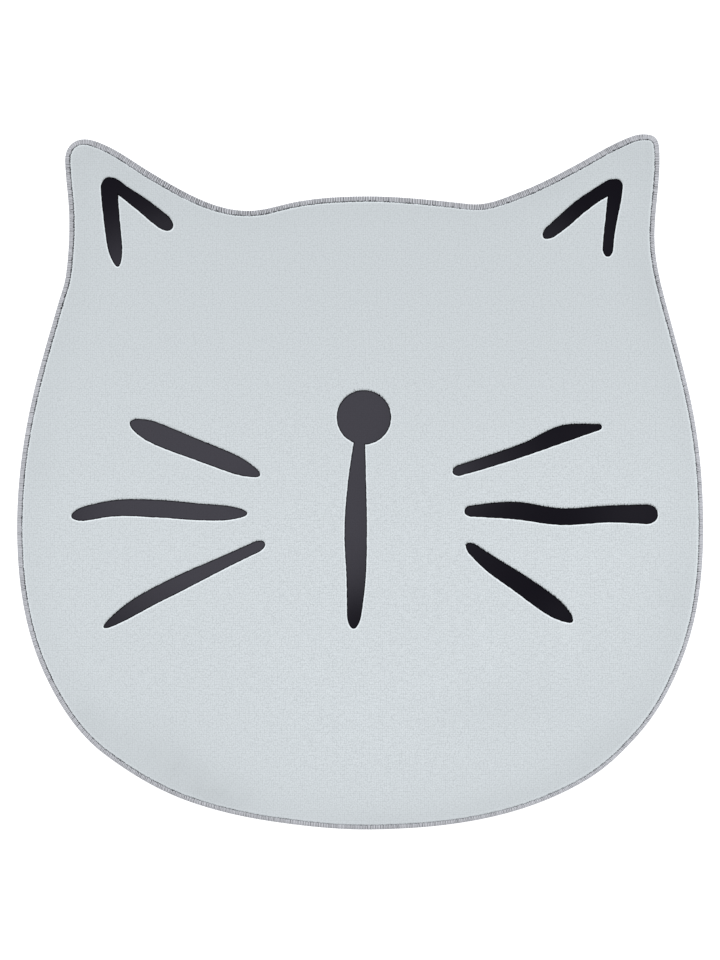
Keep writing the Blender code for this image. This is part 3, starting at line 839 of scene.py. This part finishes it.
def make_border_fibres(marks, random, material):
    """Dark fibres that lean towards the ears over the light pile above each dark mark."""
    roots = []
    reaches = []
    widths = []
    for mark, fibre in [(mark, fibre) for mark in marks for fibre in BORDER_FIBRES]:
        distances = np.arange(0, lengths_along(mark)[-1], fibre.step)
        distances = distances + random.uniform(-0.5, 0.5, len(distances)) * fibre.step
        place, inward = places_along(mark, distances)
        root = place + (random.uniform(*BORDER_FIBRE_ROOT, len(place)) * MM)[:, None] * inward
        free = np.abs(depth_in_figure(place, marks)) < BORDER_FIBRE_CLEAR
        upward = smooth_step(0.0, BORDER_FIBRE_TURN, -inward[:, 1])
        calm_ears = smooth_step(*CALM_EARS, place[:, 1])
        calm_left = CALM_LEFT * (1 - smooth_step(-CALM_BLEND, CALM_BLEND, place[:, 0]))
        calm = np.maximum(calm_ears, calm_left)
        kept = free & (random.uniform(0, 1, len(place)) < upward * (1 - fibre.calm * calm))
        length = fibre.shortest + (fibre.longest - fibre.shortest) * random.uniform(0, 1, len(place)) ** 2
        lean = random.normal(0, BORDER_FIBRE_LEAN, len(place))
        reach = np.column_stack((np.sin(lean) * length, np.cos(lean) * length, np.zeros(len(place))))
        root_height = pile_heights(root, depth_in_figure(root, marks)) - BORDER_FIBRE_SINK
        reach[:, 2] = PILE_TOP + random.uniform(*BORDER_FIBRE_RISE, len(place)) * MM - root_height
        roots.append(np.column_stack((root, root_height))[kept])
        reaches.append(reach[kept])
        widths.append((random.uniform(*BORDER_FIBRE_UNEVEN, len(place)) * fibre.width)[kept])
    parts = [np.concatenate(values) for values in (roots, reaches, widths)]
    return add_fibres("border_fibres", *parts, material)


def make_shoulder_fibres(outline, random, material):
    """Pale tufts of the cut pile that lean out over the groove beside the wound edge."""
    distances = np.arange(0, lengths_along(outline)[-1], SHOULDER_FIBRE_STEP)
    distances = distances + random.uniform(-0.5, 0.5, len(distances)) * SHOULDER_FIBRE_STEP
    place, inward = places_along(outline, distances)
    pull, gape, _, _ = seams_along(outline, distances)
    inset = random.uniform(*SHOULDER_FIBRE_INSET, len(place)) * MM + pull - (1 - gape) * CLOSED_PILE
    roots = np.column_stack((place + inset[:, None] * inward, np.full(len(place), SHOULDER_FIBRE_HEIGHT)))
    length = random.uniform(*SHOULDER_FIBRE_LENGTH, len(place)) * MM
    lean = random.normal(0, SHOULDER_FIBRE_LEAN, len(place))
    outward = -inward
    turned_x = outward[:, 0] * np.cos(lean) - outward[:, 1] * np.sin(lean)
    turned_y = outward[:, 0] * np.sin(lean) + outward[:, 1] * np.cos(lean)
    rise = random.uniform(*SHOULDER_FIBRE_RISE, len(place)) * MM
    reaches = np.column_stack((turned_x * length, turned_y * length, rise))
    widths = random.uniform(*SHOULDER_FIBRE_UNEVEN, len(place)) * SHOULDER_FIBRE_WIDTH
    return add_fibres("shoulder_fibres", roots, reaches, widths, material)


# ---- shader nodes ----------------------------------------------------------------------------------
def add(tree, kind, inputs=None, **settings):
    """A new node with its settings, and with its inputs set to a value or joined to a socket."""
    node = tree.nodes.new("ShaderNode" + kind)
    for name, value in settings.items():
        setattr(node, name, value)
    for key, value in (inputs or {}).items():
        if isinstance(value, bpy.types.NodeSocket):
            tree.links.new(value, node.inputs[key])
        else:
            node.inputs[key].default_value = value
    return node


def calc(tree, operation, *values):
    return add(tree, "Math", dict(enumerate(values)), operation=operation).outputs[0]


def mapped(tree, value, low, high, to_low=0.0, to_high=1.0, smooth=False):
    inputs = {"Value": value, "From Min": low, "From Max": high, "To Min": to_low, "To Max": to_high}
    kind = "SMOOTHSTEP" if smooth else "LINEAR"
    return add(tree, "MapRange", inputs, interpolation_type=kind).outputs["Result"]


def mixed(tree, share, first, second):
    """One colour blended into another."""
    return add(tree, "Mix", {0: share, 6: first, 7: second}, data_type="RGBA").outputs[2]


def attribute(tree, name):
    return add(tree, "Attribute", attribute_name=name).outputs["Fac"]


def new_group(name, inputs, outputs):
    group = bpy.data.node_groups.new(name, "ShaderNodeTree")
    for socket_name, kind, default in inputs:
        socket = group.interface.new_socket(name=socket_name, in_out="INPUT", socket_type="NodeSocket" + kind)
        if default is not None:
            socket.default_value = default
    for socket_name, kind in outputs:
        group.interface.new_socket(name=socket_name, in_out="OUTPUT", socket_type="NodeSocket" + kind)
    entry = group.nodes.new("NodeGroupInput").outputs
    leave = group.nodes.new("NodeGroupOutput").inputs
    return group, entry, leave


def noise_about_zero(tree, place, scale, detail):
    """Soft noise, mostly between -1 and 1."""
    fac = add(tree, "TexNoise", {"Vector": place, "Scale": scale, "Detail": detail}).outputs["Fac"]
    return mapped(tree, fac, 0.3, 0.7, -1.0, 1.0)


def make_fibre_group():
    """Cut fibre ends seen from above: tufts of uneven tone, rows from side to side and soft clumps.

    The tone, the rows and the clumps vary about zero, mostly between -1 and 1.  The height is from 0 to 1.
    """
    group, entry, leave = new_group(
        "fibre_ends",
        [("Place", "Vector", None), ("Size", "Float", 0.0016), ("Clump", "Float", 0.006)],
        [("Tone", "Float"), ("Rows", "Float"), ("Clumps", "Float"), ("Height", "Float")],
    )
    place = entry["Place"]
    fine_scale = calc(group, "DIVIDE", 1.0, entry["Size"])
    clump_scale = calc(group, "DIVIDE", 1.0, entry["Clump"])
    spread_scale = calc(group, "MULTIPLY", fine_scale, SPREAD_SCALE)
    spread_inputs = {"Vector": place, "Scale": spread_scale, "Randomness": SPREAD_RANDOMNESS}
    spread = add(group, "TexVoronoi", spread_inputs, voronoi_dimensions="2D").outputs["Distance"]
    spread_tone = mapped(group, spread, 0.1, 0.66, 1.0, -1.0)
    tuft = add(group, "TexVoronoi", {"Vector": place, "Scale": fine_scale})
    tuft_tone = mapped(group, tuft.outputs["Color"], 0.2, 0.8, -1.0, 1.0)
    finer_scale = calc(group, "MULTIPLY", fine_scale, FINE_SCALE)
    fine_tone = noise_about_zero(group, place, finer_scale, detail=0.0)
    drawn_out = add(group, "Mapping", {"Vector": place, "Scale": ROW_SQUEEZE}).outputs["Vector"]
    row_scale = calc(group, "MULTIPLY", fine_scale, ROW_SCALE)
    row_tone = noise_about_zero(group, drawn_out, row_scale, detail=0.0)
    clump_tone = noise_about_zero(group, place, clump_scale, detail=2.0)
    tone = calc(group, "MULTIPLY", spread_tone, SPREAD_SHARE)
    tone = calc(group, "MULTIPLY_ADD", tuft_tone, TUFT_SHARE, tone)
    tone = calc(group, "MULTIPLY_ADD", fine_tone, FINE_SHARE, tone)
    height = calc(group, "SUBTRACT", 1.0, tuft.outputs["Distance"])
    group.links.new(tone, leave["Tone"])
    group.links.new(row_tone, leave["Rows"])
    group.links.new(clump_tone, leave["Clumps"])
    group.links.new(height, leave["Height"])
    return group


def fibres_at(tree, fibre_ends, size, clump):
    """The outputs of the fibre group, placed by the piece's own coordinates."""
    place = add(tree, "TexCoord").outputs["Object"]
    return add(tree, "Group", {"Place": place, "Size": size, "Clump": clump}, node_tree=fibre_ends).outputs


def set_bump(tree, shader, height, strength, distance):
    bump = add(tree, "Bump", {"Strength": strength, "Distance": distance, "Height": height})
    tree.links.new(bump.outputs["Normal"], shader.inputs["Normal"])


def new_material(name, colour, roughness, sheen, specular):
    material = bpy.data.materials.new(name)
    material.use_nodes = True
    material.diffuse_color = colour
    shader = material.node_tree.nodes["Principled BSDF"]
    shader.inputs["Roughness"].default_value = roughness
    shader.inputs["Sheen Weight"].default_value = sheen
    shader.inputs["Sheen Roughness"].default_value = SHEEN_ROUGHNESS
    shader.inputs["Specular IOR Level"].default_value = specular
    return material, material.node_tree, shader


def brightened(tree, colour, brightness):
    return add(tree, "VectorMath", {0: colour, "Scale": brightness}, operation="SCALE").outputs[0]


def make_short_pile(fibre_ends):
    """Light pile with the dark figure in it: grain, nap patches, painted sheen, painted highlights on the
    lips and tips, and painted shade at the groove's roots and the figure's foot.
    """
    material, tree, shader = new_material("short_pile", LIGHT_PILE, roughness=0.95, sheen=0.04, specular=0.05)
    fibre = fibres_at(tree, fibre_ends, size=1.0 * MM, clump=7.0 * MM)
    figure = attribute(tree, "figure_mm")
    nap_and_sheen = attribute(tree, "nap_and_sheen")

    grain = mapped(tree, nap_and_sheen, DARKEST_NAP, LIGHTEST_NAP, GRAIN_IN_DARK_NAP, GRAIN_IN_LIGHT_NAP)
    brightness = calc(tree, "MULTIPLY_ADD", fibre["Tone"], grain, 1.0)
    rows = mapped(tree, nap_and_sheen, 0.0, LIGHTEST_NAP, 0.0, ROWS_IN_LIGHT_NAP)
    brightness = calc(tree, "MULTIPLY_ADD", fibre["Rows"], rows, brightness)
    brightness = calc(tree, "MULTIPLY_ADD", fibre["Clumps"], CLUMPS_IN_PILE, brightness)
    brightness = calc(tree, "MULTIPLY_ADD", nap_and_sheen, 0.01, brightness)
    # Painted highlight on the lip outside each dark border, left off where the point lies above the mark.
    near_lip = mapped(tree, figure, *LIP_BAND, smooth=True)
    lip_highlight = mapped(tree, attribute(tree, "above_figure"), 0.0, 1.0, LIP_HIGHLIGHT, 0.0)
    brightness = calc(tree, "MULTIPLY_ADD", near_lip, lip_highlight, brightness)
    # Painted highlight on the pile's tips beside the groove.
    brightness = calc(tree, "MULTIPLY_ADD", attribute(tree, "tip"), PAINTED_TIP_HIGHLIGHT, brightness)
    light = brightened(tree, LIGHT_PILE[:3], brightness)

    # Painted sheen greys the dark pile in places.
    dark = mixed(tree, attribute(tree, "painted_sheen"), DARK_PILE, DARK_PILE_IN_PAINTED_SHEEN)
    foot = mapped(tree, figure, *FOOT_BAND, FIGURE_FOOT, 1.0, smooth=True)
    dark = brightened(tree, dark, calc(tree, "MULTIPLY_ADD", fibre["Tone"], GRAIN_IN_FIGURE, foot))

    border = calc(tree, "MULTIPLY_ADD", fibre["Clumps"], BORDER_CLUMPS, figure)
    border = calc(tree, "MULTIPLY_ADD", fibre["Tone"], BORDER_GRAIN, border)
    in_figure = mapped(tree, border, -BORDER_HALF_WIDTH, BORDER_HALF_WIDTH, smooth=True)
    colour = mixed(tree, in_figure, light, dark)
    # Painted shade down in the groove at the pile's roots.
    colour = mixed(tree, attribute(tree, "root"), colour, PAINTED_GROOVE_SHADE)
    tree.links.new(colour, shader.inputs["Base Color"])
    set_bump(tree, shader, fibre["Height"], strength=0.3, distance=0.5 * MM)
    return material


def make_backing(fibre_ends):
    """The plain woven underside."""
    material, tree, shader = new_material("backing_cloth", BACKING, roughness=0.9, sheen=0.0, specular=0.1)
    place = add(tree, "TexCoord").outputs["Object"]
    fibre = fibres_at(tree, fibre_ends, size=0.9 * MM, clump=4.0 * MM)
    warp = add(tree, "TexWave", {"Vector": place, "Scale": WARP_SCALE}, bands_direction="X").outputs["Fac"]
    weft = add(tree, "TexWave", {"Vector": place, "Scale": WEFT_SCALE}, bands_direction="Y").outputs["Fac"]
    weave = calc(tree, "MULTIPLY", warp, weft)
    brightness = mapped(tree, weave, 0.0, 1.0, WEAVE_SHADE, WEAVE_LIGHT)
    brightness = calc(tree, "MULTIPLY_ADD", fibre["Tone"], GRAIN_IN_BACKING, brightness)
    tree.links.new(brightened(tree, BACKING[:3], brightness), shader.inputs["Base Color"])
    set_bump(tree, shader, weave, strength=0.5, distance=0.4 * MM)
    return material


def make_thread_material(fibre_ends):
    """Soft spun thread: each turn a little different, with painted shade down between the turns and where it
    turns under and into the groove, and painted light and shade by place along the edge.
    """
    material, tree, shader = new_material("edge_thread", THREAD, roughness=0.8, sheen=0.1, specular=0.2)
    fibre = fibres_at(tree, fibre_ends, size=0.8 * MM, clump=3.0 * MM)
    bite = attribute(tree, "bite")
    valley = calc(tree, "MULTIPLY_ADD", bite, VALLEY_STANDING_APART, VALLEY)
    valley_end = calc(tree, "ADD", valley, VALLEY_SIDE)
    crest = mapped(tree, attribute(tree, "crest"), valley, valley_end, smooth=True)
    # Painted shade between the turns and on the thread's turned-away sides.
    lit = calc(tree, "MULTIPLY", crest, attribute(tree, "lit_side"))
    colour = mixed(tree, lit, THREAD_SHADE, THREAD)
    # Painted light and shade along the edge, with each turn's own tone.
    brightness = calc(tree, "ADD", attribute(tree, "turn_tone"), 1.0)
    brightness = calc(tree, "MULTIPLY_ADD", fibre["Tone"], GRAIN_IN_THREAD, brightness)
    tree.links.new(brightened(tree, colour, brightness), shader.inputs["Base Color"])
    set_bump(tree, shader, fibre["Height"], strength=0.4, distance=0.4 * MM)
    return material


def make_fibre_material(name, colour, fibre_ends):
    """Loose fibre of one colour, uneven from fibre to fibre."""
    material, tree, shader = new_material(name, colour, roughness=0.9, sheen=0.04, specular=0.05)
    fibre = fibres_at(tree, fibre_ends, size=1.2 * MM, clump=5.0 * MM)
    brightness = calc(tree, "MULTIPLY_ADD", fibre["Tone"], GRAIN_IN_FIBRES, 1.0)
    tree.links.new(brightened(tree, colour[:3], brightness), shader.inputs["Base Color"])
    set_bump(tree, shader, fibre["Height"], strength=0.3, distance=0.3 * MM)
    return material


# ---- stage -----------------------------------------------------------------------------------------
def make_floor():
    corners = ((-1, -1), (1, -1), (1, 1), (-1, 1))
    points = np.array([(x * FLOOR_HALF, y * FLOOR_HALF, -FLOOR_DROP) for x, y in corners])
    material, tree, shader = new_material("pale_floor", FLOOR, roughness=0.9, sheen=0.0, specular=0.1)
    place = add(tree, "TexCoord").outputs["Object"]
    cloud = add(tree, "TexNoise", {"Vector": place, "Scale": 3.0}).outputs["Fac"]
    brightness = mapped(tree, cloud, 0.3, 0.7, 1 - FLOOR_CLOUDS, 1 + FLOOR_CLOUDS)
    tree.links.new(brightened(tree, FLOOR[:3], brightness), shader.inputs["Base Color"])
    shader.inputs["Emission Color"].default_value = (1.0, 1.0, 1.0, 1.0)
    shader.inputs["Emission Strength"].default_value = FLOOR_GLOW
    floor = add_piece("floor", points, [[0, 1, 2, 3]], [material])


def make_lights():
    """An even pale room and a broad soft light from beyond the ears."""
    world = bpy.data.worlds.new("pale_room")
    world.use_nodes = True
    background = world.node_tree.nodes["Background"]
    background.inputs["Color"].default_value = (1.0, 1.0, 1.0, 1.0)
    background.inputs["Strength"].default_value = ROOM_STRENGTH
    bpy.context.scene.world = world
    data = bpy.data.lights.new("window_light", "SUN")
    data.energy = WINDOW_STRENGTH
    data.angle = math.radians(WINDOW_SPREAD)
    light = bpy.data.objects.new("window_light", data)
    light.rotation_euler = (math.radians(WINDOW_LEAN), 0.0, 0.0)
    bpy.context.scene.collection.objects.link(light)
    bpy.context.scene.view_settings.view_transform = "Standard"


def make_camera():
    """Straight above, framed so that the rug's box falls on the same pixels as in the photograph."""
    metres_per_px = RUG_WIDTH / (RUG_RIGHT_PX - RUG_LEFT_PX)
    view_height = PHOTO_HEIGHT_PX * metres_per_px
    centre_x = (PHOTO_WIDTH_PX / 2 - (RUG_LEFT_PX + RUG_RIGHT_PX) / 2) * metres_per_px
    centre_y = ((RUG_TOP_PX + RUG_BOTTOM_PX) / 2 - PHOTO_HEIGHT_PX / 2) * metres_per_px
    data = bpy.data.cameras.new("camera")
    data.lens = LENS_MM
    data.sensor_width = SENSOR_MM
    camera = bpy.data.objects.new("camera", data)
    distance = view_height * LENS_MM / SENSOR_MM
    camera.location = (centre_x, centre_y, EDGE_TOP / 2 + distance)
    bpy.context.scene.collection.objects.link(camera)
    bpy.context.scene.camera = camera


def dress_edge(outline, random, fibre_ends):
    """The wound edge, in stretches that stand for the ring of thread."""
    material = make_thread_material(fibre_ends)
    around = lengths_along(outline)[-1]
    turns = round(around / THREAD_PITCH)
    pitch = around / turns
    ends = [round(turns * share / THREAD_PIECES) for share in range(THREAD_PIECES + 1)]
    threads = []
    for number, (first, last) in enumerate(zip(ends, ends[1:]), start=1):
        thread = make_edge_thread(outline, number, first, last, pitch, random, material)
        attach(thread, "root")
        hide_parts("edge_binding")
        threads.append(thread)
    return threads


def dress_fibres(outline, marks, random, fibre_ends):
    """Loose fibres of both colours."""
    fibres = make_border_fibres(marks, random, make_fibre_material("dark_fibre", DARK_PILE, fibre_ends))
    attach(fibres, "root")
    tufts = make_shoulder_fibres(outline, random, make_fibre_material("light_fibre", LIGHT_PILE, fibre_ends))
    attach(tufts, "root")
    return fibres, tufts


def dress_rug():
    """The cloth with everything that goes with it."""
    outline = smooth_outline()
    marks = [stroke_outline(stroke) for stroke in STROKES] + [nose_outline()]
    fibre_ends = make_fibre_group()
    cloth = make_pile_cloth(outline, marks, [make_short_pile(fibre_ends), make_backing(fibre_ends)])
    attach(cloth, "root")
    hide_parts("pile_panel")

    random = np.random.default_rng(11)
    threads = dress_edge(outline, random, fibre_ends)
    fibres, tufts = dress_fibres(outline, marks, random, fibre_ends)


dress_rug()
make_floor()
make_lights()
make_camera()
